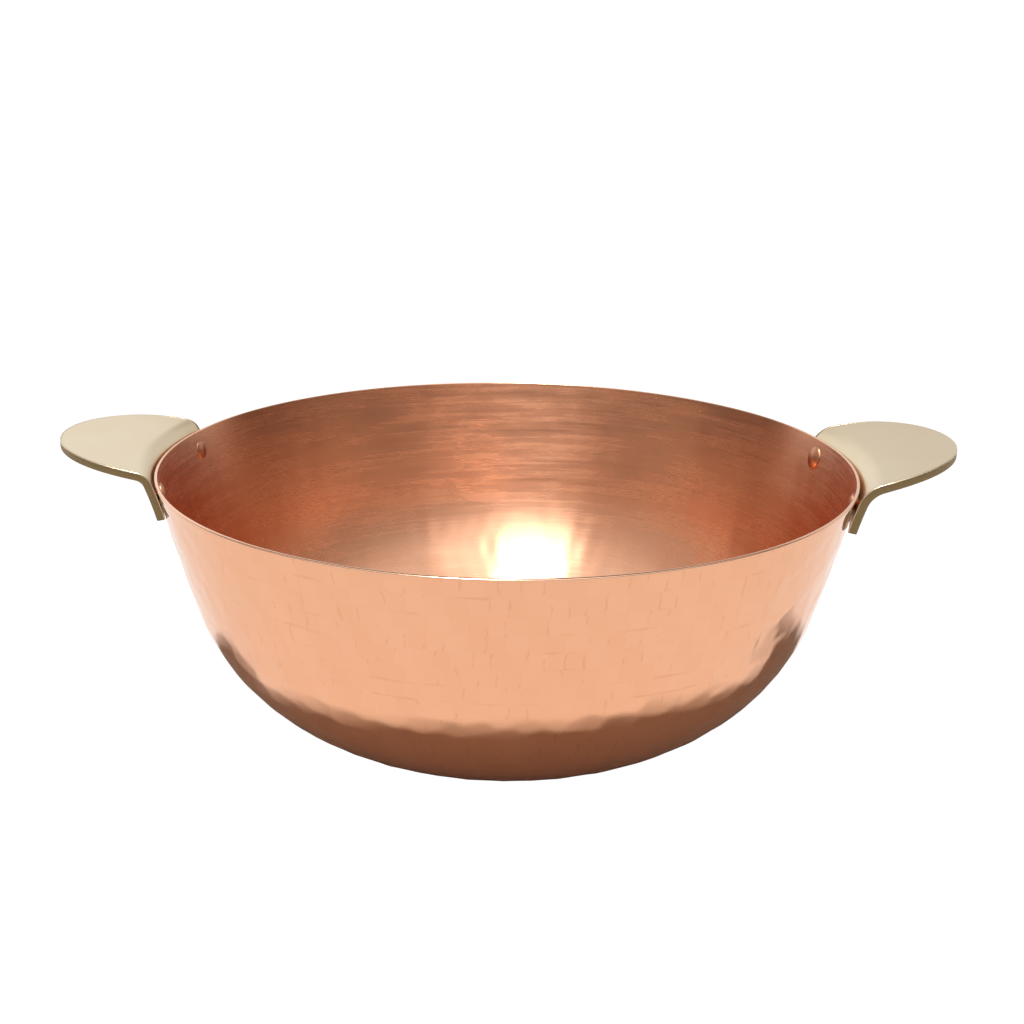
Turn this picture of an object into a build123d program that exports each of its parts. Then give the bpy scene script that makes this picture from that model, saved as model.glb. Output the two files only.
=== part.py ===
from build123d import *
import math
import os

# Hammered copper kadai with two bent brass ear handles
# Millimetres and degrees; origin at the middle of the flat foot's underside, +Z up, handles along X

# Bowl: one raised sheet, profile measured on its outer face
rim_radius = 130.0
bowl_height = 102.0
foot_radius = 42.0
sheet_thickness = 1.2
wall_lean = 12.4
wall_length = 49.3
wall_bow_radius = 690.0
belly_upper_share = 0.62
rim_ease = 0.35

# Handle plate: what both handles have in common, radii on the face that ends as the grip's top
# The ear is widest a little inside the rim
plate_thickness = 2.5
plate_ease = 0.5
plate_clearance = 0.05
flange_length = 15.0
flange_bow_radius = 60.0
ear_widest_inset = 1.9

# Each handle was bent by hand, so these differ from one to the other
# In plan a flatter plate has a radius larger than the bowl's by this much, so its ends stand off the wall
left_flange_drop = 13.4
left_bend_radius = 7.0
left_grip_rise = 10.0
left_grip_bow_radius = 380.0
left_ear_half_width = 40.0
left_grip_reach = 37.6
left_flatter_by = 0.0
right_flange_drop = 14.6
right_bend_radius = 12.0
right_grip_rise = 14.8
right_grip_bow_radius = 165.0
right_ear_half_width = 42.0
right_grip_reach = 38.6
right_flatter_by = 25.0

# Rivets: domed head inside the bowl, nearly flush set head on the plate
rivet_drop = 7.6
rivet_back_angle = 14.6
rivet_front_angle = 12.4
shank_radius = 2.4
hole_clearance = 0.1
head_radius = 4.5
head_height = 2.2
set_head_radius = 3.4
set_head_height = 0.5
head_edge_share = 0.2

# Heads are sunk this far before being trimmed to their seat; cuts run past what they cut by the overrun
seat_sink = 1.0
overrun = 5.0

# No eased edge takes up more than this share of its sheet or plate
ease_limit_share = 0.45

# The bent strip is turned this much wider than the ear that is cut from it
strip_width_share = 1.5

# The two handles as sets of these sizes
left_bends = {
    "flange_drop": left_flange_drop,
    "bend_radius": left_bend_radius,
    "grip_rise": left_grip_rise,
    "grip_bow_radius": left_grip_bow_radius,
    "half_width": left_ear_half_width,
    "grip_reach": left_grip_reach,
    "flatter_by": left_flatter_by,
}
right_bends = {
    "flange_drop": right_flange_drop,
    "bend_radius": right_bend_radius,
    "grip_rise": right_grip_rise,
    "grip_bow_radius": right_grip_bow_radius,
    "half_width": right_ear_half_width,
    "grip_reach": right_grip_reach,
    "flatter_by": right_flatter_by,
}


def travel(lean):
    """Unit vector down and inwards, leaning this many degrees from the vertical."""
    return Vector(-math.sin(math.radians(lean)), -math.cos(math.radians(lean)))


def inward(direction):
    """Normal of the outer profile towards the bowl's inside, for a direction of travel."""
    return Vector(direction.Y, -direction.X)


def wall_arc():
    """The nearly straight wall, from the rim down to the knee."""
    turn = -math.degrees(wall_length / wall_bow_radius)
    return JernArc((rim_radius, bowl_height), travel(wall_lean), wall_bow_radius, turn)


def belly_handover(knee, knee_travel, foot_edge, foot_travel):
    """Point and direction where the upper belly arc hands over to the lower one."""
    ratio = belly_upper_share / (1 - belly_upper_share)
    chord = foot_edge - knee
    square = 2 * ratio * (knee_travel.dot(foot_travel) - 1)
    linear = -2 * chord.dot(foot_travel + knee_travel * ratio)
    lower = (-linear - math.sqrt(linear**2 - 4 * square * chord.dot(chord))) / (2 * square)
    upper_corner = knee + knee_travel * (ratio * lower)
    lower_corner = foot_edge - foot_travel * lower
    along = lower_corner - upper_corner
    return upper_corner + along * belly_upper_share, along.normalized()


def bowl_profile(inset):
    """Rim to foot edge as three tangent arcs, moved inwards by inset."""
    wall = wall_arc()
    foot_edge, foot_travel = Vector(foot_radius, 0), Vector(-1, 0)
    middle, middle_travel = belly_handover(wall @ 1, wall % 1, foot_edge, foot_travel)
    rim = wall @ 0 + inward(wall % 0) * inset
    knee = wall @ 1 + inward(wall % 1) * inset
    middle = middle + inward(middle_travel) * inset
    foot = foot_edge + inward(foot_travel) * inset
    return [
        TangentArc(rim, knee, tangent=wall % 0),
        TangentArc(knee, middle, tangent=wall % 1),
        TangentArc(middle, foot, tangent=middle_travel),
    ]


def bowl_blank():
    """The raised sheet before drilling, its rim cut square to the wall and eased."""
    outer, inner = bowl_profile(0), bowl_profile(sheet_thickness)
    outer_foot, inner_foot = outer[-1] @ 1, inner[-1] @ 1
    floor_outer, floor_inner = Vector(0, outer_foot.Y), Vector(0, inner_foot.Y)
    lines = [
        Line(outer_foot, floor_outer),
        Line(floor_outer, floor_inner),
        Line(floor_inner, inner_foot),
        Line(inner[0] @ 0, outer[0] @ 0),
    ]
    section = make_face(outer + inner + lines)
    rim_corners = section.vertices().sort_by(Axis.Y)[-2:]
    section = fillet(rim_corners, min(rim_ease, sheet_thickness * ease_limit_share))
    return revolve(Plane.XZ * section, Axis.Z)


def rivet_seat():
    """Frame of a rivet at zero azimuth: on the wall's outer face, its Z pointing out of the bowl."""
    wall = wall_arc()
    share = rivet_drop / wall_length
    point, outwards = wall @ share, inward(wall % share) * -1
    return Plane((point.X, 0, point.Y), x_dir=(0, 1, 0), z_dir=(outwards.X, 0, outwards.Y))


def plate_profile(handle, inset):
    """Foot to tip as three tangent arcs: bowed flange, bend and bowed grip, inset from the top face."""
    wall = wall_arc()
    share = handle["flange_drop"] / wall_length
    lean = wall_lean + math.degrees(handle["flange_drop"] / wall_bow_radius)
    upwards = travel(lean) * -1
    outwards = inward(travel(lean)) * -1
    foot = wall @ share + outwards * (plate_clearance + inset)
    flange_turn = math.degrees(flange_length / flange_bow_radius)
    bend_turn = 90 - lean - flange_turn - handle["grip_rise"]
    grip_length = handle["grip_reach"] + overrun
    grip_turn = math.degrees(grip_length / handle["grip_bow_radius"])
    flange = JernArc(foot, upwards, flange_bow_radius - inset, -flange_turn)
    bend = JernArc(flange @ 1, flange % 1, handle["bend_radius"] - inset, -bend_turn)
    grip = JernArc(bend @ 1, bend % 1, handle["grip_bow_radius"] - inset, -grip_turn)
    return [flange, bend, grip]


def ear_outline(handle):
    """Plan of the plate: straight sides by the bowl, half an ellipse beyond."""
    middle = rim_radius - ear_widest_inset
    sides = Pos(middle / 2, 0) * Rectangle(middle, 2 * handle["half_width"])
    return sides + Pos(middle, 0) * Ellipse(handle["grip_reach"] + ear_widest_inset, handle["half_width"])


def handle_blank(handle):
    """The bent plate before drilling: profile turned about the bowl's axis, trimmed to the ear, eased."""
    top, under = plate_profile(handle, 0), plate_profile(handle, plate_thickness)
    ends = [Line(top[0] @ 0, under[0] @ 0), Line(top[-1] @ 1, under[-1] @ 1)]
    section = make_face(top + under + ends)
    half_sweep = strip_width_share * math.degrees(math.asin(handle["half_width"] / rim_radius))
    section = Pos(handle["flatter_by"], 0, 0) * (Plane.XZ * section)
    strip = revolve(section, Axis.Z, revolution_arc=2 * half_sweep)
    strip = Pos(-handle["flatter_by"], 0, 0) * Rot(0, 0, -half_sweep) * strip
    trim = extrude(ear_outline(handle), 2 * bowl_height)
    plate = strip & trim
    cut_edges = new_edges(strip, trim, combined=plate)
    foot_edges = plate.faces().sort_by(Axis.Z)[0].edges()
    sharp = [edge for edge in foot_edges if not any(edge.is_same(other) for other in cut_edges)]
    return fillet(list(cut_edges) + sharp, min(plate_ease, plate_thickness * ease_limit_share))


def domed_head(radius, height):
    """A head standing on its seat: low straight edge under a dome, with a base sunk below the seat."""
    upright = (Align.CENTER, Align.CENTER, Align.MIN)
    edge = height * head_edge_share
    rise = height - edge
    sphere_radius = (radius**2 + rise**2) / (2 * rise)
    dome = Pos(0, 0, height - sphere_radius) * Sphere(sphere_radius)
    dome &= Pos(0, 0, edge) * Cylinder(radius, height, align=upright)
    return dome + Pos(0, 0, -seat_sink) * Cylinder(radius, seat_sink + edge, align=upright)


def plate_far_side(seat, plate):
    """Distance along the rivet from the wall's outer face to the plate's far face."""
    along = seat.z_axis
    crossings = [point for point, normal in plate.find_intersection_points(along)]
    return max((point - seat.position).dot(along.direction) for point in crossings)


def rivet(azimuth, bowl, plate):
    """Shank with a head on each end, both heads trimmed to the faces they sit on."""
    seat = Rot(0, 0, azimuth) * rivet_seat().location
    far = plate_far_side(seat, plate)
    inner_head = seat * Pos(0, 0, -sheet_thickness) * Rot(180, 0, 0) * domed_head(head_radius, head_height)
    set_head = seat * Pos(0, 0, far) * domed_head(set_head_radius, set_head_height)
    middle = (far - sheet_thickness) / 2
    into_heads = 2 * set_head_height * head_edge_share
    shank = seat * Pos(0, 0, middle) * Cylinder(shank_radius, far + sheet_thickness + into_heads)
    return (inner_head - bowl) + (set_head - plate) + shank


def rivet_hole(azimuth):
    """Cutter for one hole through wall and plate."""
    reach = sheet_thickness + plate_thickness + overrun
    return Rot(0, 0, azimuth) * rivet_seat().location * Cylinder(shank_radius + hole_clearance, 2 * reach)


def build():
    """Every node by name, each as its own solid."""
    bowl = bowl_blank()
    nodes = {}
    holes = []
    for side, handle, facing in (("left", left_bends, 180), ("right", right_bends, 0)):
        plate = Rot(0, 0, facing) * handle_blank(handle)
        back = 1 if facing == 0 else -1
        places = {"back": facing + back * rivet_back_angle, "front": facing - back * rivet_front_angle}
        for place, azimuth in places.items():
            nodes[f"rivet_{side}_{place}"] = rivet(azimuth, bowl, plate)
        cutters = [rivet_hole(azimuth) for azimuth in places.values()]
        nodes[f"{side}_handle"] = plate - cutters
        holes += cutters
    nodes["bowl"] = bowl - holes
    return nodes


os.makedirs("parts", exist_ok=True)
for name, shape in build().items():
    export_step(shape, f"parts/{name}.step")
    print(name, "solids", len(shape.solids()), "volume", round(shape.volume, 1))
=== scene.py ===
import math

import bpy
import numpy as np
from mathutils import Matrix, Vector


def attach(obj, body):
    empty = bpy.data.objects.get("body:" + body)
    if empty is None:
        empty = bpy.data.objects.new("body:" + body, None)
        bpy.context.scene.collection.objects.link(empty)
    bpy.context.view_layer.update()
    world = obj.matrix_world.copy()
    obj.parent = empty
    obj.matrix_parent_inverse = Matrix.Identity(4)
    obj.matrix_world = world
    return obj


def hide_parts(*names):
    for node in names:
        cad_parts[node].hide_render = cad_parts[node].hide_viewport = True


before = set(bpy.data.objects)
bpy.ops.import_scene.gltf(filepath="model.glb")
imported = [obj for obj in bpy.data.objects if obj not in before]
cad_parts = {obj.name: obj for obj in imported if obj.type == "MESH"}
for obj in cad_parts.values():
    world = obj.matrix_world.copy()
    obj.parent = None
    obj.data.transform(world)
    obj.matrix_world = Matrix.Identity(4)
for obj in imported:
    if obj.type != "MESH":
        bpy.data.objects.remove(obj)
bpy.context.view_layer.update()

mm = 0.001
white = (1.0, 1.0, 1.0, 1.0)
noTriangles = np.zeros((0, 3), int)
scene = bpy.context.scene
print("frame loaded:", len(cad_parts), "nodes")


def linearColour(hexText):
    # sRGB hex to the linear values that shaders take: a straight line near black, else a power of 2.4
    parts = [int(hexText[i:i + 2], 16) / 255 for i in (1, 3, 5)]
    return [p / 12.92 if p <= 0.04045 else ((p + 0.055) / 1.055) ** 2.4 for p in parts] + [1.0]


def addNode(tree, kind, sockets=None, **settings):
    # one node with its settings; a socket given as another node's output is linked, anything else is set
    # (on a Mix node 0 is the factor, 2 and 3 are its numbers, 6 and 7 its colours)
    node = tree.nodes.new(kind)
    for key, value in settings.items():
        setattr(node, key, value)
    for key, value in (sockets or {}).items():
        if isinstance(value, bpy.types.NodeSocket):
            tree.links.new(value, node.inputs[key])
        else:
            node.inputs[key].default_value = value
    return node


def startMaterial(name):
    material = bpy.data.materials.new(name)
    material.use_nodes = True
    material.node_tree.nodes.clear()
    return material, material.node_tree


def meshPiece(name, points, quads, triangles, materials, faceMaterial=None, vectors=None):
    # whole arrays straight into a mesh: quads (n, 4) and triangles (m, 3) of vertex numbers
    mesh = bpy.data.meshes.new(name)
    mesh.vertices.add(len(points))
    mesh.vertices.foreach_set("co", np.asarray(points, np.float32).ravel())
    loops = np.concatenate([np.asarray(faces, np.int32).ravel() for faces in (quads, triangles)])
    sizes = np.concatenate([np.full(len(quads), 4, np.int32), np.full(len(triangles), 3, np.int32)])
    starts = np.concatenate([[0], np.cumsum(sizes)[:-1]]).astype(np.int32)
    mesh.loops.add(len(loops))
    mesh.loops.foreach_set("vertex_index", loops)
    mesh.polygons.add(len(sizes))
    mesh.polygons.foreach_set("loop_start", starts)
    for material in materials:
        mesh.materials.append(material)
    if faceMaterial is not None:
        mesh.polygons.foreach_set("material_index", np.asarray(faceMaterial, np.int32))
    mesh.polygons.foreach_set("use_smooth", np.ones(len(sizes), bool))
    for key, values in (vectors or {}).items():
        layer = mesh.attributes.new(key, "FLOAT_VECTOR", "POINT")
        layer.data.foreach_set("vector", values.astype(np.float32).ravel())
    mesh.update(calc_edges=True)
    mesh.validate()
    piece = bpy.data.objects.new(name, mesh)
    scene.collection.objects.link(piece)
    return piece


def followArcs(start, heading, arcs, along, inset):
    # A chain of arcs that all turn right, each tangent to the last, in the (radius, height) plane.
    # Point at length s = arc centre + (arc radius - inset) * left normal of the heading,
    # and the heading at s = heading at the arc's start - (s - length there) / arc radius.
    along, inset = np.broadcast_arrays(np.asarray(along, float), np.asarray(inset, float))
    spot = np.array(start, float)
    across, up = np.zeros(along.shape), np.zeros(along.shape)
    done = 0.0
    for number, (radius, length) in enumerate(arcs):
        centre = spot + radius * np.array([math.sin(heading), -math.cos(heading)])
        angle = heading - (along - done) / radius
        here = along >= done if number else np.ones(along.shape, bool)
        across = np.where(here, centre[0] - (radius - inset) * np.sin(angle), across)
        up = np.where(here, centre[1] + (radius - inset) * np.cos(angle), up)
        heading -= length / radius
        done += length
        spot = centre + radius * np.array([-math.sin(heading), math.cos(heading)])
    return across, up


def turnedFaces(rows, columns):
    # Faces of a profile turned all the way round: quads between its rows, and a fan onto a pole at either
    # end. The first row's pole is vertex number rows x columns, and the last row's is the next one.
    grid = np.arange(rows * columns).reshape(rows, columns)
    after = np.roll(grid, -1, 1)
    quads = np.stack([grid[:-1], after[:-1], after[1:], grid[1:]], -1).reshape(-1, 4)
    first = np.stack([np.full(columns, rows * columns), after[0], grid[0]], -1)
    last = np.stack([np.full(columns, rows * columns + 1), grid[-1], after[-1]], -1)
    return quads, np.concatenate([first, last])


def turnedRound(points, degrees):
    # The points turned about the bowl's axis
    c, s = math.cos(math.radians(degrees)), math.sin(math.radians(degrees))
    return points @ np.array([[c, s, 0], [-s, c, 0], [0, 0, 1]])


# Camera, fitted to the rim ellipse, the outline and the rivets of the photograph

view = {
    "spot": (1.92 * mm, -509.95 * mm, 245.95 * mm),
    "aim": (1.92 * mm, 0.0, 80.7 * mm),
    "roll": math.radians(0.726),
    "lens": 49.22,
    "sensor": 36.0,
    "nearest": 10 * mm,
}


def placeCamera():
    # right, up and back axes from the line of sight, then rolled about it
    spot = Vector(view["spot"])
    sight = (Vector(view["aim"]) - spot).normalized()
    right = sight.cross(Vector((0, 0, 1))).normalized()
    up = right.cross(sight)
    c, s = math.cos(view["roll"]), math.sin(view["roll"])
    axes = (c * right + s * up, c * up - s * right, -sight)
    camera = bpy.data.objects.new("camera", bpy.data.cameras.new("camera"))
    camera.data.lens = view["lens"]
    camera.data.sensor_width = view["sensor"]
    camera.data.clip_start = view["nearest"]
    scene.collection.objects.link(camera)
    camera.matrix_world = Matrix.Translation(spot) @ Matrix(axes).transposed().to_4x4()
    scene.camera = camera


placeCamera()
print("camera placed")


# Finishes

copper = {
    "outside": "#eeb793",
    "outsideCloud": "#e9b08b",
    "outsideRoughness": 0.07,
    "cloudSize": 38.46 * mm,
    "blowTone": 0.16,
    "blowToneHash": (4.37, 9.71),
    # colour of the fold lines and how much of it they take: painted shade along the creases
    "fold": "#cf9169",
    "foldShade": 0.32,
    "foldWidth": 0.55 * mm,
    "foldDepth": 0.006 * mm,
    "foldBow": 55.0,
    "foldWobble": 1.5 * mm,
    "wobbleSize": 7.692 * mm,
    # where folds show: size of the patches and least value of their noise, for upright and level folds
    "foldPatches": {"across": (6.667 * mm, 0.51), "down": (16.67 * mm, 0.53)},
    "patchEdge": 0.12,
    "inside": "#eab493",
    "insideCloud": "#e2a986",
    "insideRoughness": 0.255,
    "insideSpread": (-0.05, 0.06),
    "spreadFrom": (0.35, 0.65),
    "insideAnisotropy": 0.86,
    "streakLength": 60 * mm,
    "streakSpacing": 1.1 * mm,
    "streakDepth": 0.00028 * mm,
    "bandLength": 33.33 * mm,
    "bandSpacing": 6.25 * mm,
    "rim": "#f3c3a4",
    "rimRoughness": 0.15,
    "rivet": "#c48e6f",
    "rivetRoughness": 0.35,
    "dintSize": 2.381 * mm,
    "dintDepth": 0.03 * mm,
}
# Hammer marks, in rings down the wall: a blow's width and height, the first ring's place, how far each ring
# is turned on and a blow may slip (both in blows), the factors that number a blow, and the rings' girth
marks = {
    "width": 6.1 * mm,
    "height": 6.7 * mm,
    "first": 3.1 * mm,
    "turnOn": 0.618,
    "slip": 0.22,
    "hash": (12.9898, 78.233),
    "girth": (130.0, 0.265, 1.85),
}


def markCount(ring):
    # Blows in one level ring: they keep their width, so the number falls with the girth of the belly, which
    # is 2 pi (rim radius - drop (ring + 1) ^ power)
    rimRadius, drop, power = marks["girth"]
    return np.round(2 * math.pi * (rimRadius - drop * (ring + 1.0) ** power) * mm / marks["width"])


def hammeredCopper():
    # Copper sheet planished with a polished hammer outside: near-mirror flats in level rings, and here and
    # there a thin line where two blows fold together, a shallow groove whose darker colour is painted shade
    # along the crease. The rings, their counts and the slips are the mesh's own formulas, so each line lies
    # in its crease. The eye sees clean soft tones broken by fine lines.
    material, tree = startMaterial("hammeredCopper")
    place = addNode(tree, "ShaderNodeTexCoord").outputs["Object"]
    around = addNode(tree, "ShaderNodeAttribute", attribute_name="around").outputs["Vector"]
    wobble = addNode(tree, "ShaderNodeTexNoise",
                     {"Vector": place, "Scale": 1 / copper["wobbleSize"], "Detail": 2.0}).outputs["Color"]
    value = dict(zip("xyz", addNode(tree, "ShaderNodeSeparateXYZ", {0: around}).outputs))
    value.update(zip(("swayAcross", "swayDown"), addNode(tree, "ShaderNodeSeparateXYZ", {0: wobble}).outputs))
    rimRadius, girthDrop, girthPower = marks["girth"]
    hashAcross, hashRing = marks["hash"]
    toneAcross, toneRing = copper["blowToneHash"]

    # one sum a line: its name, what is done, and to what
    sums = (
        ("angle", "ARCTAN2", "y", "x"),
        ("turns", "DIVIDE", "angle", 2 * math.pi),
        ("below", "SUBTRACT", "z", marks["first"]),
        ("rings", "DIVIDE", "below", marks["height"]),
        ("ring", "ROUND", "rings"),
        ("past", "SUBTRACT", "rings", "ring"),
        # blows in this ring, and which of them is here
        ("nextRing", "ADD", "ring", 1.0),
        ("narrowing", "POWER", "nextRing", girthPower),
        ("drop", "MULTIPLY", "narrowing", girthDrop),
        ("girth", "SUBTRACT", rimRadius, "drop"),
        ("blows", "MULTIPLY", "girth", 2 * math.pi * mm / marks["width"]),
        ("count", "ROUND", "blows"),
        ("ringStart", "MULTIPLY", "ring", marks["turnOn"]),
        ("along", "MULTIPLY_ADD", "turns", "count", "ringStart"),
        ("blow", "FLOOR", "along"),
        # the fold between this blow and the next lies midway, moved by the mean of their slips
        ("ringHash", "MULTIPLY", "ring", hashRing),
        ("number", "FLOORED_MODULO", "blow", "count"),
        ("hash", "MULTIPLY_ADD", "number", hashAcross, "ringHash"),
        ("slip", "SINE", "hash"),
        ("nextBlow", "ADD", "blow", 1.0),
        ("nextNumber", "FLOORED_MODULO", "nextBlow", "count"),
        ("nextHash", "MULTIPLY_ADD", "nextNumber", hashAcross, "ringHash"),
        ("nextSlip", "SINE", "nextHash"),
        ("slips", "ADD", "slip", "nextSlip"),
        ("middle", "ADD", "blow", 0.5),
        ("fold", "MULTIPLY_ADD", "slips", marks["slip"] / 2, "middle"),
        # distance from the upright fold, which bows and wobbles
        ("offset", "MULTIPLY", "past", marks["height"]),
        ("offsetSquare", "MULTIPLY", "offset", "offset"),
        ("bowWay", "SINE", "ringHash"),
        ("bowSize", "MULTIPLY", "bowWay", copper["foldBow"]),
        ("bow", "MULTIPLY", "offsetSquare", "bowSize"),
        ("fromFold", "SUBTRACT", "along", "fold"),
        ("straightAcross", "MULTIPLY_ADD", "fromFold", marks["width"], "bow"),
        ("wobbleAcross", "SUBTRACT", "swayAcross", 0.5),
        ("wavyAcross", "MULTIPLY_ADD", "wobbleAcross", 2 * copper["foldWobble"], "straightAcross"),
        ("across", "ABSOLUTE", "wavyAcross"),
        # distance from the level fold between two rings
        ("pastEither", "ABSOLUTE", "past"),
        ("toEdge", "SUBTRACT", 0.5, "pastEither"),
        ("straightDown", "MULTIPLY", "toEdge", marks["height"]),
        ("wobbleDown", "SUBTRACT", "swayDown", 0.5),
        ("wavyDown", "MULTIPLY_ADD", "wobbleDown", copper["foldWobble"], "straightDown"),
        ("down", "ABSOLUTE", "wavyDown"),
        # each blow's own tone
        ("nearest", "ROUND", "along"),
        ("ringToneHash", "MULTIPLY", "ring", toneRing),
        ("toneHash", "MULTIPLY_ADD", "nearest", toneAcross, "ringToneHash"),
        ("own", "SINE", "toneHash"),
    )
    for name, operation, *inputs in sums:
        inputs = {k: value[one] if isinstance(one, str) else one for k, one in enumerate(inputs)}
        value[name] = addNode(tree, "ShaderNodeMath", inputs, operation=operation).outputs[0]

    lines = []
    for name, (size, least) in copper["foldPatches"].items():
        line = addNode(tree, "ShaderNodeMapRange",
                       {"Value": value[name], "From Min": 0.0, "From Max": copper["foldWidth"],
                        "To Min": 1.0, "To Max": 0.0}, interpolation_type="SMOOTHSTEP").outputs[0]
        patch = addNode(tree, "ShaderNodeTexNoise",
                        {"Vector": place, "Scale": 1 / size, "Detail": 2.0}).outputs["Fac"]
        patch = addNode(tree, "ShaderNodeMapRange",
                        {"Value": patch, "From Min": least, "From Max": least + copper["patchEdge"]},
                        interpolation_type="SMOOTHSTEP").outputs[0]
        lines += [addNode(tree, "ShaderNodeMath", {0: line, 1: patch}, operation="MULTIPLY").outputs[0]]
    folds = addNode(tree, "ShaderNodeMath", dict(enumerate(lines)), operation="MAXIMUM").outputs[0]
    bump = addNode(tree, "ShaderNodeBump",
                   {"Strength": 1.0, "Distance": -copper["foldDepth"], "Height": folds}).outputs[0]
    cloud = addNode(tree, "ShaderNodeTexNoise",
                    {"Vector": place, "Scale": 1 / copper["cloudSize"], "Detail": 3.0}).outputs["Fac"]
    tone = addNode(tree, "ShaderNodeMath", {0: value["own"], 1: copper["blowTone"], 2: cloud},
                   operation="MULTIPLY_ADD", use_clamp=True).outputs[0]
    colour = addNode(tree, "ShaderNodeMix",
                     {0: tone, 6: linearColour(copper["outside"]), 7: linearColour(copper["outsideCloud"])},
                     data_type="RGBA").outputs[2]
    # painted shade: the fold lines darken the colour towards the fold colour
    share = addNode(tree, "ShaderNodeMath", {0: folds, 1: copper["foldShade"]},
                    operation="MULTIPLY").outputs[0]
    colour = addNode(tree, "ShaderNodeMix", {0: share, 6: colour, 7: linearColour(copper["fold"])},
                     data_type="RGBA").outputs[2]
    shader = addNode(tree, "ShaderNodeBsdfPrincipled",
                     {"Base Color": colour, "Metallic": 1.0, "Roughness": copper["outsideRoughness"],
                      "Normal": bump})
    addNode(tree, "ShaderNodeOutputMaterial", {"Surface": shader.outputs[0]})
    return material


def brushedCopper():
    # The same sheet inside, polished on the wheel: fine scratches run round the bowl, so lights smear up and
    # down the wall, and the soft hollows of the hammer work still show in them. Real scratches are too fine
    # for the picture, so they are drawn a millimetre apart.
    material, tree = startMaterial("brushedCopper")
    around = addNode(tree, "ShaderNodeAttribute", attribute_name="around").outputs["Vector"]
    noise = []
    for length, spacing, rough in ((copper["streakLength"], copper["streakSpacing"], 0.6),
                                   (copper["bandLength"], copper["bandSpacing"], 0.5)):
        lay = addNode(tree, "ShaderNodeMapping",
                      {"Vector": around, "Scale": (1 / length, 1 / length, 1 / spacing)}).outputs[0]
        noise += [addNode(tree, "ShaderNodeTexNoise",
                          {"Vector": lay, "Scale": 1.0, "Detail": 3.0, "Roughness": rough}).outputs["Fac"]]
    streaks, bands = noise
    bump = addNode(tree, "ShaderNodeBump",
                   {"Strength": 1.0, "Distance": copper["streakDepth"], "Height": streaks}).outputs[0]
    mixed = addNode(tree, "ShaderNodeMix", {0: 0.5, 2: streaks, 3: bands}).outputs[0]
    start, end = copper["spreadFrom"]
    least, most = (copper["insideRoughness"] + part for part in copper["insideSpread"])
    spread = addNode(tree, "ShaderNodeMapRange", {"Value": mixed, "From Min": start, "From Max": end,
                                                  "To Min": least, "To Max": most}).outputs[0]
    colour = addNode(tree, "ShaderNodeMix",
                     {0: bands, 6: linearColour(copper["inside"]), 7: linearColour(copper["insideCloud"])},
                     data_type="RGBA").outputs[2]
    # the tangent points round the bowl; a quarter turn sets the smear across the scratches
    lie = addNode(tree, "ShaderNodeTangent", direction_type="RADIAL", axis="Z").outputs[0]
    shader = addNode(tree, "ShaderNodeBsdfPrincipled",
                     {"Base Color": colour, "Metallic": 1.0, "Roughness": spread, "Normal": bump,
                      "Anisotropic": copper["insideAnisotropy"], "Anisotropic Rotation": 0.25,
                      "Tangent": lie})
    addNode(tree, "ShaderNodeOutputMaterial", {"Surface": shader.outputs[0]})
    return material


def polishedCopper(name, colour, roughness):
    # Copper rubbed bright by hand: rim edge and rivet heads, with the faint unevenness of a file and a hammer
    material, tree = startMaterial(name)
    place = addNode(tree, "ShaderNodeTexCoord").outputs["Object"]
    dints = addNode(tree, "ShaderNodeTexNoise",
                    {"Vector": place, "Scale": 1 / copper["dintSize"], "Detail": 2.0}).outputs["Fac"]
    bump = addNode(tree, "ShaderNodeBump",
                   {"Strength": 1.0, "Distance": copper["dintDepth"], "Height": dints}).outputs[0]
    shader = addNode(tree, "ShaderNodeBsdfPrincipled",
                     {"Base Color": linearColour(colour), "Metallic": 1.0, "Roughness": roughness,
                      "Normal": bump})
    addNode(tree, "ShaderNodeOutputMaterial", {"Surface": shader.outputs[0]})
    return material


brass = {
    "face": "#e2d2b5",
    "faceCloud": "#dccaa9",
    "faceRoughness": 0.3,
    "faceSpread": (-0.04, 0.05),
    "cloudSize": 26.32 * mm,
    "grainSpacing": 0.35 * mm,
    "grainStretch": 0.12,
    "grainDepth": 0.002 * mm,
    # the edge's colour, darker and browner than the face: painted shade on the plate's side and lower ease
    "edge": "#8a7655",
    "edgeRoughness": 0.5,
    "strokeSpacing": 0.3846 * mm,
    "strokeStretch": 0.1,
    "strokeDepth": 0.01 * mm,
}


def satinBrass():
    # Pale rolled brass rubbed with fine wool: a soft satin that blurs the room to even tones, faintly cloudy
    material, tree = startMaterial("satinBrass")
    place = addNode(tree, "ShaderNodeTexCoord").outputs["Object"]
    lay = addNode(tree, "ShaderNodeMapping",
                  {"Vector": place, "Scale": (1.0, brass["grainStretch"], 1.0)}).outputs[0]
    grain = addNode(tree, "ShaderNodeTexNoise",
                    {"Vector": lay, "Scale": 1 / brass["grainSpacing"], "Detail": 2.0}).outputs["Fac"]
    cloud = addNode(tree, "ShaderNodeTexNoise",
                    {"Vector": place, "Scale": 1 / brass["cloudSize"], "Detail": 3.0}).outputs["Fac"]
    least, most = (brass["faceRoughness"] + part for part in brass["faceSpread"])
    spread = addNode(tree, "ShaderNodeMapRange", {"Value": cloud, "To Min": least, "To Max": most}).outputs[0]
    bump = addNode(tree, "ShaderNodeBump",
                   {"Strength": 1.0, "Distance": brass["grainDepth"], "Height": grain}).outputs[0]
    colour = addNode(tree, "ShaderNodeMix",
                     {0: cloud, 6: linearColour(brass["face"]), 7: linearColour(brass["faceCloud"])},
                     data_type="RGBA").outputs[2]
    shader = addNode(tree, "ShaderNodeBsdfPrincipled",
                     {"Base Color": colour, "Metallic": 1.0, "Roughness": spread, "Normal": bump})
    addNode(tree, "ShaderNodeOutputMaterial", {"Surface": shader.outputs[0]})
    return material


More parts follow.
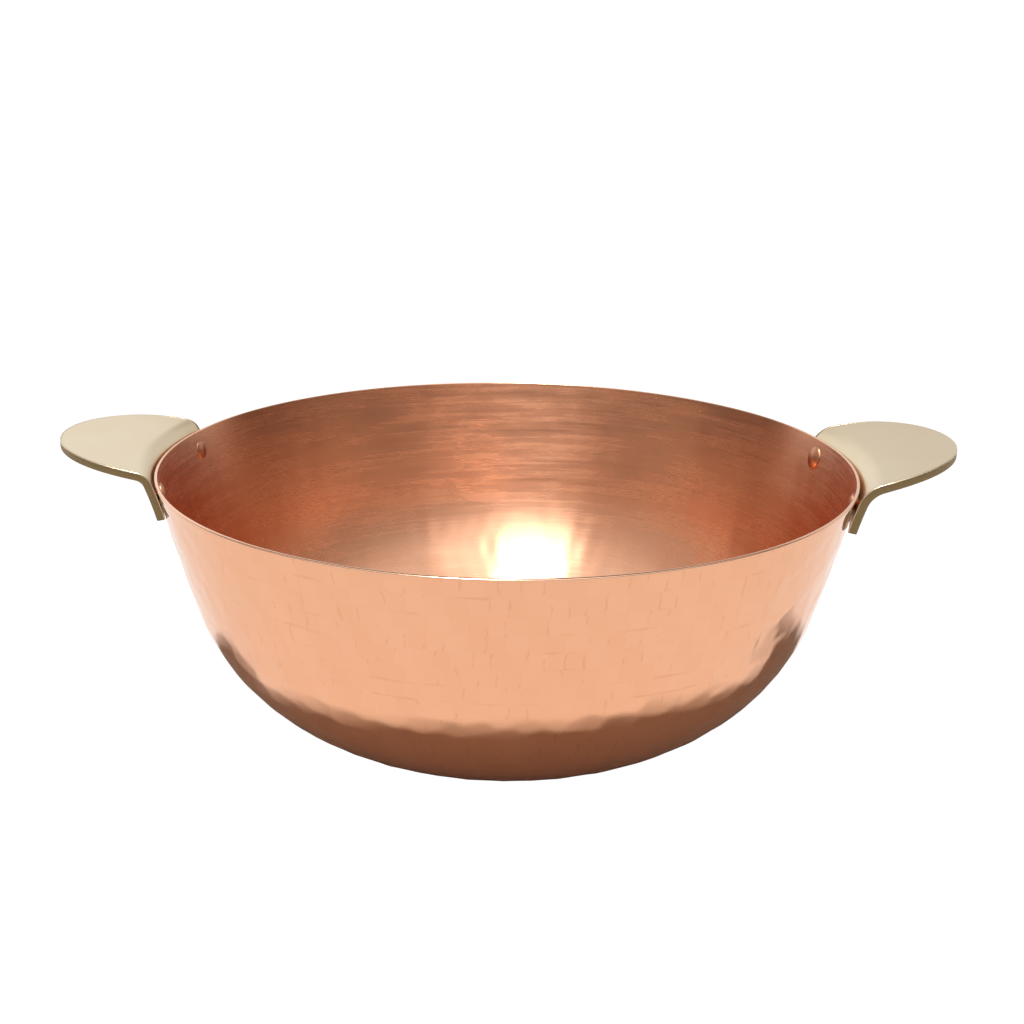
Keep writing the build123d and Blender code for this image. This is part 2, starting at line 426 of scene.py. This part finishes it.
def filedShadedBrass():
    # The cut edge of the plate, filed: duller than its face, and its browner, darker colour is painted shade
    # on the plate's side and lower ease
    material, tree = startMaterial("filedShadedBrass")
    place = addNode(tree, "ShaderNodeTexCoord").outputs["Object"]
    stretch = brass["strokeStretch"]
    lay = addNode(tree, "ShaderNodeMapping", {"Vector": place, "Scale": (stretch, stretch, 1.0)}).outputs[0]
    strokes = addNode(tree, "ShaderNodeTexNoise",
                      {"Vector": lay, "Scale": 1 / brass["strokeSpacing"], "Detail": 2.0}).outputs["Fac"]
    bump = addNode(tree, "ShaderNodeBump",
                   {"Strength": 1.0, "Distance": brass["strokeDepth"], "Height": strokes}).outputs[0]
    shader = addNode(tree, "ShaderNodeBsdfPrincipled",
                     {"Base Color": linearColour(brass["edge"]), "Metallic": 1.0,
                      "Roughness": brass["edgeRoughness"], "Normal": bump})
    addNode(tree, "ShaderNodeOutputMaterial", {"Surface": shader.outputs[0]})
    return material


outsideFinish, insideFinish = hammeredCopper(), brushedCopper()
rimFinish = polishedCopper("filedRim", copper["rim"], copper["rimRoughness"])
rivetFinish = polishedCopper("peenedCopper", copper["rivet"], copper["rivetRoughness"])
faceFinish, shadedEdgeFinish = satinBrass(), filedShadedBrass()
print("materials made")


# Bowl, in millimetres: arcs are (radius, length) down the outer face from the rim to the middle of the foot

bowl = {
    "rim": (130.0, 102.0),
    "lean": 12.4,
    "arcs": ((690.0, 49.3), (74.33, 61.01), (84.27, 38.94), (20000.0, 42.0)),
    "sheet": 1.2,
    "skin": 0.045,
    "rimEase": 0.35,
    "rimBend": (30.0, 60.0, 90.0),
    "columns": 600,
    "outerRows": 105,
    "outerFlatRows": 5,
    "innerRows": 44,
    "innerFlatRows": 4,
    # hammer flats: their radii round and down the wall (the second changes at lengths given from the end of
    # an arc), their depth, and how the blows differ by factors of chance
    "flatAcross": 112.0,
    "flatDown": (260.0, 76.0, 76.0, 86.0),
    "flatDownFrom": ((0, -12.0), (0, 2.0), (1, -4.0), (1, 4.0)),
    "depth": 0.13,
    "depthSpread": 0.016,
    "dropSpread": 0.3,
    "tilt": 0.034,
    "chance": (1.7, 2.3, 3.1, 4.3),
    "ringDrift": ((2, 1.1, 0.6), (5, 0.5, 2.1)),
    "ringsPast": 8.0,
    # what the polishing left of them inside
    "innerWidth": 13.0,
    "innerHeight": 11.0,
    "innerGirth": 120.0,
    "innerDepth": 0.16,
    "innerWaves": (12, -30, 5),
    "innerSizes": (0.3, 1.0),
    "ripples": (7, 24, 0.5 / 3),
    "rippleLength": 40.0,
    # (start, width) in millimetres of where the work fades out at the rim and past the foot's edge
    "rimFade": (0.4, 2.5),
    "innerRimFade": (0.4, 6.0),
    "footFade": (4.0, 6.0),
    "seed": 11,
}
wallLengths = np.cumsum([length for radius, length in bowl["arcs"]])


def ringDrift(turn):
    # The rings were struck by eye, so they rise and fall a little round the bowl: a sum of two slow sines
    return sum(size * np.sin(waves * turn + phase) for waves, size, phase in bowl["ringDrift"])


def hammerWork(along, turn):
    # Depth of the hammer's flats at ring length s down the wall and angle t round it, in mm: the largest over
    # nearby blows of  depth - across^2 / (2 radius round) - down^2 / (2 radius down) + a little tilt.
    # With the radii of the bowl itself each blow leaves a flat, and the flats meet in creases.
    width, height, first = marks["width"] / mm, marks["height"] / mm, marks["first"] / mm
    rings = int((wallLengths[2] + bowl["ringsPast"] - first) / height) + 2
    number = np.arange(rings)
    counts = markCount(number).astype(int)
    centres = first + height * number
    changes = [wallLengths[arc] + step for arc, step in bowl["flatDownFrom"]]
    flatDown = np.interp(centres, changes, bowl["flatDown"])
    hashAcross, hashRing = marks["hash"]
    chanceDrop, chanceDepth, chanceAcross, chanceDown = bowl["chance"]
    deepest = np.full(np.broadcast_shapes(along.shape, turn.shape), -1.0)
    nearRing = np.round((along - first) / height).astype(int)
    for ringStep in (-1, 0, 1):
        ring = np.clip(nearRing + ringStep, 0, rings - 1)
        count = counts[ring]
        place = turn * count / (2 * math.pi) + marks["turnOn"] * ring
        nearBlow = np.round(place).astype(int)
        for blowStep in (-1, 0, 1):
            blow = nearBlow + blowStep
            seed = hashAcross * (blow % count) + hashRing * ring
            across = (place - blow - marks["slip"] * np.sin(seed)) * width
            down = along - centres[ring] - bowl["dropSpread"] * np.sin(chanceDrop * seed)
            here = bowl["depth"] + bowl["depthSpread"] * np.sin(chanceDepth * seed)
            lean = np.sin(chanceAcross * seed) * across + np.sin(chanceDown * seed) * down
            here = here + bowl["tilt"] * lean
            here = here - across**2 / (2 * bowl["flatAcross"]) - down**2 / (2 * flatDown[ring])
            deepest = np.maximum(deepest, here)
    return np.maximum(deepest, 0)


def innerWork(along, turn, rng):
    # What shows inside of the same work, softened by the polishing wheel: wide shallow hollows, a mean of
    # cosines of neighbouring wave numbers whose sizes and phases pass smoothly from ring to ring, and slow
    # ripples round the wall, a sum of cosines whose size falls as 1 / waves
    rings = int(wallLengths[2] / bowl["innerHeight"]) + 3
    ring = along / bowl["innerHeight"]
    waves = np.round(2 * math.pi * bowl["innerGirth"] / bowl["innerWidth"])
    number, lowest, step = bowl["innerWaves"]
    sizes = rng.uniform(*bowl["innerSizes"], (rings, number))
    phases = rng.uniform(0, 2 * math.pi, (rings, number))
    low = np.clip(np.floor(ring).astype(int), 0, rings - 2)
    part = ring - low
    part = part * part * (3 - 2 * part)
    total = np.zeros(np.broadcast_shapes(along.shape, turn.shape))
    for k in range(number):
        swing = (waves + lowest + step * k) * turn
        total = total + np.cos(swing + phases[low, k]) * sizes[low, k] * (1 - part)
        total = total + np.cos(swing + phases[low + 1, k]) * sizes[low + 1, k] * part
    total = total * bowl["innerDepth"] / number
    first, last, slope = bowl["ripples"]
    for k in range(first, last):
        phase, drift = rng.uniform(0, 2 * math.pi, 2)
        total = total + slope / k * np.cos(k * turn + phase + np.sin(along / bowl["rippleLength"] + drift))
    return total


def makeBowl():
    # Profile carried round the axis: up the outer face from the middle of the foot, over the eased rim, down
    # the inner face to the middle of the floor. Each row is a length down the wall and a depth into the
    # sheet. Outer face and rim lie one skin inside the solid's, so nothing stands out of its box.
    rng = np.random.default_rng(bowl["seed"])
    footEdge, footMiddle = wallLengths[2], wallLengths[3]
    ease, sheet = bowl["rimEase"], bowl["sheet"]
    outer = np.concatenate([np.linspace(footMiddle, footEdge, bowl["outerFlatRows"] + 1)[1:-1],
                            np.linspace(footEdge, ease, bowl["outerRows"])])
    inner = np.concatenate([np.linspace(ease, footEdge, bowl["innerRows"]),
                            np.linspace(footEdge, footMiddle, bowl["innerFlatRows"] + 1)[1:-1]])
    bend = np.radians(bowl["rimBend"])
    rise, turnIn = ease * (1 - np.sin(bend)), ease * (1 - np.cos(bend))
    along = np.concatenate([outer, rise, rise[::-1], inner])
    into = np.concatenate([0 * outer, turnIn, sheet - turnIn[::-1], sheet + 0 * inner])
    rows, columns = len(along), bowl["columns"]
    turn = np.linspace(0, 2 * math.pi, columns, endpoint=False)[None, :]
    down = along[:, None]
    drifted = down + ringDrift(turn)
    flats = hammerWork(drifted, turn)
    soft = innerWork(down, turn, rng)
    rimFade, innerRimFade = (np.clip((down - start) / width, 0, 1)
                             for start, width in (bowl["rimFade"], bowl["innerRimFade"]))
    past, width = bowl["footFade"]
    fade = rimFade * np.clip((footEdge + past - down) / width, 0, 1)
    isOuter = (np.arange(rows) < len(outer))[:, None]
    isInner = (np.arange(rows) >= rows - len(inner))[:, None]
    depth = into[:, None] + np.where(isInner, 0, bowl["skin"]) + np.where(isOuter, flats * fade, 0)
    depth = depth + np.where(isInner, soft * innerRimFade * fade, 0)
    radius, height = followArcs(bowl["rim"], math.radians(270 - bowl["lean"]), bowl["arcs"], down, depth)
    points = np.stack([radius * np.cos(turn), radius * np.sin(turn), height], -1).reshape(-1, 3)
    points = np.concatenate([points, [[0, 0, height[0].mean()], [0, 0, height[-1].mean()]]]) * mm
    quads, fans = turnedFaces(rows, columns)
    # where each point lies round and down the wall, for the finishes
    rimRadius = bowl["rim"][0]
    around = [rimRadius * np.cos(turn), rimRadius * np.sin(turn), drifted]
    around = np.stack(np.broadcast_arrays(*around), -1).reshape(-1, 3)
    around = np.concatenate([around, [[0, 0, footMiddle], [0, 0, footMiddle]]]) * mm
    band = np.full(rows - 1, 0)
    band[len(outer) - 1:rows - len(inner)] = 2
    band[rows - len(inner):] = 1
    faceMaterial = np.concatenate([np.repeat(band, columns), np.full(columns, 0), np.full(columns, 1)])
    piece = meshPiece("hammered_bowl", points, quads, fans, [outsideFinish, insideFinish, rimFinish],
                      faceMaterial, {"around": around})
    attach(piece, "root")
    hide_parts("bowl")
    return piece


bowlPiece = makeBowl()
print("bowl made:", len(bowlPiece.data.polygons), "faces")


# Ear handles, in millimetres: foot and arcs are (radius, height) and (radius, length) up the plate's top face

plate = {
    "ease": 0.35,
    "easeSteps": 4,
    "rowsAlong": (30, 60),
    "columns": 72,
    "split": 0.4,
    "splitPast": 1.5,
    "widest": 128.1,
    "tipSpan": math.radians(45),
    "table": (-1, 80, 4000),
    "rounds": 12,
}
ears = {
    "left": {
        "foot": (127.068, 89.027),
        "lean": 13.504,
        "arcs": ((120.0, 13.4), (6.47, 6.64), (380.0, 60.0)),
        "thick": 2.9,
        "halfWidth": 39.3,
        "reach": 166.7,
        "flatter": 0.0,
        "facing": 180,
    },
    "right": {
        "foot": (126.877, 88.220),
        "lean": 13.573,
        "arcs": ((120.0, 10.75), (11.17, 10.81), (196.6, 60.0)),
        "thick": 3.15,
        "halfWidth": 41.98,
        "reach": 167.13,
        "flatter": 12.0,
        "facing": 0,
    },
}


def earSurface(ear, share, side, inset, depth):
    # The bent plate as a function of share (0 at the flange's foot, 1 at the tip) and side (-1 to 1), at a
    # depth below its top face and inset from its outline.
    # Flange and bend: level rows at equal lengths of the profile. Grip: a patch blended between the last such
    # row, the two sides and the tip of a half ellipse. Height comes from the profile at the distance from the
    # axis, and a flatter plate is turned about an axis farther back.
    heading = math.radians(90 - ear["lean"])
    split, widest, tipSpan = plate["split"], plate["widest"], plate["tipSpan"]
    flangeEnd = ear["arcs"][0][1] + ear["arcs"][1][1] + plate["splitPast"]
    flat = ear["flatter"]
    halfWidth = ear["halfWidth"] - inset
    reach = ear["reach"] - widest - inset
    table = np.linspace(*plate["table"])
    tableRadius = followArcs(ear["foot"], heading, ear["arcs"], table, depth)[0] + flat

    def levelRow(radius):
        # x and y of a level row of this radius: its end lies on the outline, found in a few rounds
        half = np.full(np.shape(radius), halfWidth, float)
        for _ in range(plate["rounds"]):
            past = np.clip(np.sqrt(radius**2 - half**2) - flat - widest, 0, reach)
            half = halfWidth * np.sqrt(1 - (past / reach) ** 2)
        return np.sqrt(radius**2 - (side * half) ** 2) - flat, side * half

    rowLength = inset + np.clip(share / split, 0, 1) * (flangeEnd - inset)
    rowRadius, rowUp = followArcs(ear["foot"], heading, ear["arcs"], rowLength, depth)
    rowX, rowY = levelRow(rowRadius + flat)
    startX, startY = levelRow(np.interp(flangeEnd, table, tableRadius))
    cornerX, cornerY = startX[..., -1:], startY[..., -1:]
    grip = np.clip((share - split) / (1 - split), 0, 1)
    wide = np.arctan2(cornerY / halfWidth, (cornerX - widest) / reach)
    swing = wide + grip * (tipSpan - wide)
    tip = side * tipSpan
    patchX = (1 - grip) * (startX - cornerX) + grip * reach * (np.cos(tip) - math.cos(tipSpan))
    patchX = patchX + widest + reach * np.cos(swing)
    patchY = (1 - grip) * startY + grip * halfWidth * np.sin(tip)
    tipCorner = halfWidth * math.sin(tipSpan)
    patchY = patchY + side * (halfWidth * np.sin(swing) - (1 - grip) * cornerY - grip * tipCorner)
    onGrip = share > split
    x, y = np.where(onGrip, patchX, rowX), np.where(onGrip, patchY, rowY)
    length = np.interp(np.hypot(x + flat, y), tableRadius, table)
    up = followArcs(ear["foot"], heading, ear["arcs"], length, depth)[1]
    return np.stack(np.broadcast_arrays(x, y, np.where(onGrip, up, rowUp)), -1)


def makeEar(name, key):
    # Top face, rings of the eased edge and under face of one plate, joined ring to ring
    ear = ears[key]
    split = plate["split"]
    rowsLow, rowsGrip = plate["rowsAlong"]
    share = np.concatenate([np.linspace(0, split, rowsLow, endpoint=False), np.linspace(split, 1, rowsGrip)])
    share, side = share[:, None], np.linspace(-1, 1, plate["columns"])[None, :]
    rows, columns = share.shape[0], side.shape[1]
    onFace = rows * columns
    ease, thick = plate["ease"], ear["thick"]
    angles = np.linspace(0, math.pi / 2, plate["easeSteps"] + 1)
    rings = [(ease * (1 - math.sin(a)), ease * (1 - math.cos(a))) for a in angles]
    rings += [(inset, thick - depth) for inset, depth in reversed(rings)]
    # vertex numbers of a face's outline: foot, one side, tip, other side
    outline = np.concatenate([np.arange(columns), np.arange(1, rows) * columns + columns - 1,
                              (rows - 1) * columns + np.arange(columns - 2, -1, -1),
                              np.arange(rows - 2, 0, -1) * columns])
    layers = [earSurface(ear, share, side, inset, depth).reshape(-1, 3) for inset, depth in rings]
    loops = [layer[outline] for layer in layers[1:-1]]
    points = turnedRound(np.concatenate([layers[0], layers[-1]] + loops), ear["facing"]) * mm
    grid = np.arange(onFace).reshape(rows, columns)
    topQuads = np.stack([grid[:-1, :-1], grid[1:, :-1], grid[1:, 1:], grid[:-1, 1:]], -1).reshape(-1, 4)
    underQuads = topQuads[:, ::-1] + onFace
    ringRows = [2 * onFace + k * len(outline) + np.arange(len(outline)) for k in range(len(loops))]
    ringRows = np.array([outline] + ringRows + [outline + onFace])
    after = np.roll(ringRows, -1, 1)
    edgeQuads = np.stack([ringRows[:-1], ringRows[1:], after[1:], after[:-1]], -1).reshape(-1, 4)
    # the ease by the top face is rubbed with it; the rest of the edge is filed, and its darker colour is
    # painted shade
    filedAndShaded = np.arange(len(ringRows) - 1) >= plate["easeSteps"]
    faceMaterial = np.concatenate([np.zeros(2 * len(topQuads), int), np.repeat(filedAndShaded, len(outline))])
    piece = meshPiece(name, points, np.concatenate([topQuads, underQuads, edgeQuads]), noTriangles,
                      [faceFinish, shadedEdgeFinish], faceMaterial)
    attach(piece, "root")
    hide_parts(key + "_handle")
    return piece


for key in ears:
    makeEar(key + "_ear_plate", key)
print("handles made")


# Rivets, in millimetres; a place is its degrees round the bowl, how far the shank goes from the wall's outer
# face through the plate, and (radius, height) of the head inside

rivet = {
    "seat": (128.327, 94.586),
    "lean": 13.031,
    "shank": 2.4,
    "sink": 0.3,
    "setHead": (3.4, 0.5),
    "edgeShare": 0.2,
    "columns": 48,
    "headSteps": 12,
    "setSteps": 6,
    "places": {
        "left_back": (165.4, 3.16, (3.5, 0.7)),
        "left_front": (192.4, 3.16, (4.0, 1.3)),
        "right_back": (14.6, 3.91, (4.5, 1.8)),
        "right_front": (-12.4, 3.81, (3.4, 1.0)),
    },
}


def domeProfile(radius, height, steps):
    # From the middle of the head outwards: a circle's arc that ends above its low straight edge
    rise = height - height * rivet["edgeShare"]
    ball = (radius**2 + rise**2) / (2 * rise)
    swing = np.linspace(0, math.asin(radius / ball), steps)
    return ball * np.sin(swing), height - ball + ball * np.cos(swing)


def makeRivet(place):
    # Profile turned about the rivet's own axis: inner dome, shank, low outer head; set on the wall by its
    # seat. The heads' edges go on a little into what they sit on.
    azimuth, through, head = rivet["places"][place]
    inside, sink, shank = -bowl["sheet"], rivet["sink"], rivet["shank"]
    domeRadius, domeUp = domeProfile(*head, rivet["headSteps"])
    setRadius, setUp = domeProfile(*rivet["setHead"], rivet["setSteps"])
    radius = [domeRadius[1:], [head[0], shank, shank, rivet["setHead"][0]], setRadius[:0:-1]]
    radius = np.concatenate(radius)[:, None]
    along = [inside - domeUp[1:], [inside + sink] * 2, [through - sink] * 2, through + setUp[:0:-1]]
    along = np.concatenate(along)[:, None]
    turn = np.linspace(0, 2 * math.pi, rivet["columns"], endpoint=False)[None, :]
    ring = np.stack(np.broadcast_arrays(radius * np.cos(turn), radius * np.sin(turn), along), -1)
    poles = [[0, 0, inside - domeUp[0]], [0, 0, through + setUp[0]]]
    points = np.concatenate([ring.reshape(-1, 3), poles])
    lean = math.radians(rivet["lean"])
    outwards, sideways = np.array([math.cos(lean), 0, -math.sin(lean)]), np.array([0, 1, 0])
    axes = np.stack([sideways, np.cross(outwards, sideways), outwards])
    spot = np.array([rivet["seat"][0], 0, rivet["seat"][1]])
    points = turnedRound(points @ axes + spot, azimuth) * mm
    quads, fans = turnedFaces(*ring.shape[:2])
    piece = meshPiece("peened_rivet_" + place, points, quads, fans, [rivetFinish])
    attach(piece, "root")
    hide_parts("rivet_" + place)
    return piece


for place in rivet["places"]:
    makeRivet(place)
print("rivets made")


# Floor and light

studio = {
    "floorHalf": 6.0,
    "floor": "#ececec",
    "floorGlow": 0.97,
    "white": 1.06,
    "low": 0.09,
    "window": 0.5,
    "top": 0.06,
    "ceiling": 1.05,
    "warm": (1.0, 0.82, 0.73, 1.0),
    "warmBelow": (0.45, 0.95),
    # smooth ramps over the direction looked in: along what, from and to where, and the value at either end
    "ramps": {
        "back": ("east", -0.15, 0.2, 1.06, 0.8268),
        "fromWest": ("east", -0.95, -0.35, 0.0, 1.0),
        "fromEast": ("east", 0.95, 0.35, 0.0, 1.0),
        "sideWalls": ("east", -0.3, 0.3, 0.6, 0.36),
        "overFurniture": ("up", 0.13, 0.4, 0.0, 1.0),
        "overWall": ("up", 0.62, 0.82, 0.0, 1.0),
        "overBack": ("up", 0.5, 0.68, 0.0, 1.0),
        "overTop": ("up", 0.84, 0.94, 0.0, 1.0),
        "toBack": ("north", 0.28, 0.65, 0.0, 1.0),
    },
    # lamps: strength, width in degrees, direction that they shine from
    "key": (2.93, 12, (-0.088, 0.012, 0.99)),
    "front": (0.5, 30, (-0.14, -0.53, 0.84)),
    "halo": (0.41, 52, (0.0, -0.5, 0.86)),
    "fill": (0.82, 110, (0.0, -0.25, 0.95)),
    "fillColour": (1.0, 0.8, 0.68),
    "glossyBounces": 8,
    "bounces": 12,
}


def makeFloor():
    # Pale matt table, white to the camera and matt to all else
    h = studio["floorHalf"]
    material, tree = startMaterial("paleFloor")
    matt = addNode(tree, "ShaderNodeBsdfDiffuse", {"Color": linearColour(studio["floor"])}).outputs[0]
    glow = addNode(tree, "ShaderNodeEmission", {"Color": white, "Strength": studio["white"]}).outputs[0]
    seen = addNode(tree, "ShaderNodeLightPath").outputs["Is Camera Ray"]
    share = addNode(tree, "ShaderNodeMath", {0: seen, 1: studio["floorGlow"]},
                    operation="MULTIPLY").outputs[0]
    both = addNode(tree, "ShaderNodeMixShader", {0: share, 1: matt, 2: glow}).outputs[0]
    addNode(tree, "ShaderNodeOutputMaterial", {"Surface": both})
    corners = [(-h, -h, 0), (h, -h, 0), (h, h, 0), (-h, h, 0)]
    floor = meshPiece("floor", corners, [(0, 1, 2, 3)], noTriangles, [material])


def makeWorld():
    # What the metal mirrors, by direction. At the back: white up to 30 degrees, then dark. Elsewhere: a dark
    # line of furniture under pale walls, brightest straight ahead. Overhead: a bright ceiling. Dim places are
    # warm. The backdrop that the camera sees is white, and the matt floor gets none of this.
    world = bpy.data.worlds.new("studio")
    world.use_nodes = True
    tree = world.node_tree
    tree.nodes.clear()
    way = addNode(tree, "ShaderNodeTexCoord").outputs["Generated"]
    level = dict(zip(("east", "north", "up"), addNode(tree, "ShaderNodeSeparateXYZ", {0: way}).outputs))
    level["seen"] = addNode(tree, "ShaderNodeLightPath").outputs["Is Camera Ray"]
    for name, (along, start, end, atStart, atEnd) in studio["ramps"].items():
        level[name] = addNode(tree, "ShaderNodeMapRange",
                              {"Value": level[along], "From Min": start, "From Max": end,
                               "To Min": atStart, "To Max": atEnd},
                              interpolation_type="SMOOTHSTEP").outputs[0]
    level["ahead"] = addNode(tree, "ShaderNodeMath", {0: level["fromWest"], 1: level["fromEast"]},
                             operation="MULTIPLY").outputs[0]

    # one mix a line: its name, by what, and the two levels mixed
    mixes = (
        ("wall", "ahead", "sideWalls", studio["window"]),
        ("side", "overFurniture", studio["low"], "wall"),
        ("front", "overWall", "side", studio["ceiling"]),
        ("backWall", "overBack", "back", studio["top"]),
        ("behind", "overTop", "backWall", studio["ceiling"]),
        ("room", "toBack", "front", "behind"),
        ("all", "seen", "room", studio["white"]),
    )
    for name, by, *pair in mixes:
        first, second = (level[one] if isinstance(one, str) else one for one in pair)
        level[name] = addNode(tree, "ShaderNodeMix", {0: level[by], 2: first, 3: second}).outputs[0]
    least, most = studio["warmBelow"]
    bright = addNode(tree, "ShaderNodeMapRange", {"Value": level["all"], "From Min": least, "From Max": most},
                     interpolation_type="SMOOTHSTEP").outputs[0]
    tint = addNode(tree, "ShaderNodeMix", {0: bright, 6: studio["warm"], 7: white},
                   data_type="RGBA").outputs[2]
    sky = addNode(tree, "ShaderNodeBackground", {"Color": tint, "Strength": level["all"]}).outputs[0]
    addNode(tree, "ShaderNodeOutputWorld", {"Surface": sky})
    scene.world = world
    world.cycles_visibility.diffuse = False


def makeLamp(name, onFloor=True, onMetal=True, colour=white[:3]):
    # A far lamp as a disc in the sky, which may light only the matt floor or show only in the metal
    strength, width, way = studio[name]
    lamp = bpy.data.lights.new(name, "SUN")
    lamp.energy = strength
    lamp.angle = math.radians(width)
    lamp.color = colour
    piece = bpy.data.objects.new(name, lamp)
    piece.rotation_euler = Vector(way).to_track_quat("Z", "Y").to_euler()
    piece.visible_diffuse, piece.visible_glossy = onFloor, onMetal
    scene.collection.objects.link(piece)


makeFloor()
makeWorld()
makeLamp("key")
makeLamp("front", onFloor=False)
makeLamp("halo", onFloor=False)
makeLamp("fill", onMetal=False, colour=studio["fillColour"])
scene.view_settings.view_transform = "Standard"
scene.view_settings.look = "None"
scene.cycles.glossy_bounces = studio["glossyBounces"]
scene.cycles.max_bounces = studio["bounces"]
print("floor and light made")

bpy.context.view_layer.update()
